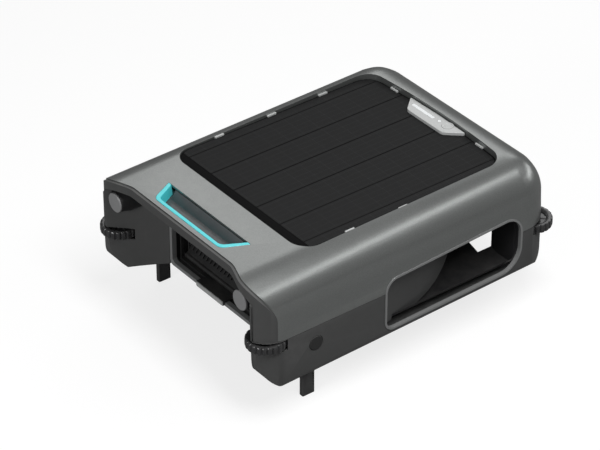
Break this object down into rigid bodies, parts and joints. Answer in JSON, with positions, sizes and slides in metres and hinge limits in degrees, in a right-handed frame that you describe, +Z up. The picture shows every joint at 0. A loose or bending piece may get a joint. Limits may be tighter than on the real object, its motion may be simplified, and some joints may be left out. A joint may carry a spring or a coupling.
{
  "type": "pool surface skimmer",
  "caption": "Solar-powered floating pool skimmer with catamaran hull, intake mouth, slide-out debris basket, side jet ducts, bumper wheels and drop legs.",
  "frame": {"origin": "centre of the footprint, on the ground under the two legs", "axes": "+Y to the back, the intake mouth faces -Y; +X to the right seen from behind the mouth looking in; +Z up"},
  "size_m": [0.3878, 0.514, 0.222],
  "materials": {
    "deck_grey": "satin metallic lacquer on moulded plastic",
    "tab_grey": "satin moulded plastic",
    "trim_cyan": "satin moulded plastic, light cyan",
    "smoked_window": "smoked translucent plastic",
    "hull_charcoal": "fine moulded texture, satin",
    "frame_grey": "satin moulded plastic",
    "housing_black": "satin moulded plastic",
    "sensor_grey": "smooth satin cap",
    "rubber_black": "moulded rubber",
    "tyre_black": "moulded elastomer with a knurled rim",
    "laminate_black": "matt laminate over the cells",
    "solar_cell": "textured laminate over mono cells",
    "light_white": "diffusing light guide",
    "steel": "stainless",
    "motor_metal": "turned motor can",
    "basket_black": "satin moulded plastic",
    "mesh_grey": "woven filter mesh",
    "leg_black": "moulded plastic",
    "cell_wrap": "shrink sleeve",
    "board_green": "solder mask",
    "chip_black": "moulded packages",
    "foam_white": "closed-cell foam"
  },
  "bodies": {
    "hull": {"battery_case": "housing_black", "battery_cells": "cell_wrap", "bay_liner": "housing_black", "board_parts": "chip_black", "case_lid": "housing_black", "charge_port": "housing_black", "cheek_left": "hull_charcoal", "cheek_right": "hull_charcoal", "circuit_board": "board_green", "control_tab": "tab_grey", "float_foam_left": "foam_white", "float_foam_right": "foam_white", "front_arch": "hull_charcoal", "guide_vane_left": "hull_charcoal", "guide_vane_right": "hull_charcoal", "handle_trim": "trim_cyan", "handle_window": "smoked_window", "hull_screws": "steel", "jet_duct_left": "housing_black", "jet_duct_right": "housing_black", "leg_socket_left": "housing_black", "leg_socket_right": "housing_black", "light_bar": "light_white", "lower_hull": "hull_charcoal", "mouth_frame": "frame_grey", "panel_clips": "tab_grey", "panel_gasket": "rubber_black", "seam_gasket": "rubber_black", "sensor_face_left": "sensor_grey", "sensor_face_right": "sensor_grey", "sensor_left": "housing_black", "sensor_right": "housing_black", "signal_light": "light_white", "solar_cells": "solar_cell", "solar_panel": "laminate_black", "thruster_motor_left": "motor_metal", "thruster_motor_right": "motor_metal", "thruster_tube_left": "housing_black", "thruster_tube_right": "housing_black", "top_cover": "deck_grey", "tray_bosses": "hull_charcoal", "wheel_pins": "steel", "window_bezel_left": "frame_grey", "window_bezel_right": "frame_grey"},
    "basket": {"debris_basket": "basket_black", "basket_mesh": "mesh_grey", "flap_pin": "steel"},
    "flap": {"debris_flap": "basket_black"},
    "wheel_left_front": {"bumper_wheel_left_front": "tyre_black"},
    "wheel_left_rear": {"bumper_wheel_left_rear": "tyre_black"},
    "wheel_right_front": {"bumper_wheel_right_front": "tyre_black"},
    "wheel_right_rear": {"bumper_wheel_right_rear": "tyre_black"},
    "propeller_left": {"propeller_left": "housing_black"},
    "propeller_right": {"propeller_right": "housing_black"},
    "leg_left": {"leg_left": "leg_black"},
    "leg_right": {"leg_right": "leg_black"},
    "button": {"power_button": "tab_grey"},
    "cap": {"charge_cap": "rubber_black"}
  },
  "joints": [
    {"name": "basket_slide", "type": "slide", "parent": "hull", "child": "basket", "axis": [0, -1, 0], "range_m": [0, 0.285]},
    {"name": "flap_swing", "type": "hinge", "parent": "basket", "child": "flap", "pos_m": [0, -0.177, 0.0932], "axis": [1, 0, 0], "range_deg": [-28, 32]},
    {"name": "spin_left_front", "type": "hinge", "parent": "hull", "child": "wheel_left_front", "pos_m": [-0.166, -0.229, 0.118], "axis": [0, 0, 1], "continuous": true},
    {"name": "spin_left_rear", "type": "hinge", "parent": "hull", "child": "wheel_left_rear", "pos_m": [-0.166, 0.229, 0.118], "axis": [0, 0, 1], "continuous": true},
    {"name": "spin_right_front", "type": "hinge", "parent": "hull", "child": "wheel_right_front", "pos_m": [0.166, -0.229, 0.118], "axis": [0, 0, 1], "continuous": true},
    {"name": "spin_right_rear", "type": "hinge", "parent": "hull", "child": "wheel_right_rear", "pos_m": [0.166, 0.229, 0.118], "axis": [0, 0, 1], "continuous": true},
    {"name": "propeller_spin_left", "type": "hinge", "parent": "hull", "child": "propeller_left", "pos_m": [-0.135, -0.064, 0.107], "axis": [0, 1, 0], "continuous": true},
    {"name": "propeller_spin_right", "type": "hinge", "parent": "hull", "child": "propeller_right", "pos_m": [0.135, -0.064, 0.107], "axis": [0, 1, 0], "continuous": true},
    {"name": "leg_slide_left", "type": "slide", "parent": "hull", "child": "leg_left", "axis": [0, 0, 1], "range_m": [0, 0.044]},
    {"name": "leg_slide_right", "type": "slide", "parent": "hull", "child": "leg_right", "axis": [0, 0, 1], "range_m": [0, 0.044]},
    {"name": "button_press", "type": "slide", "parent": "hull", "child": "button", "axis": [0, 0, -1], "range_m": [0, 0.001], "stiffness_N_per_m": 800},
    {"name": "cap_pull", "type": "slide", "parent": "hull", "child": "cap", "axis": [1, 0, 0], "range_m": [0, 0.014]}
  ]
}
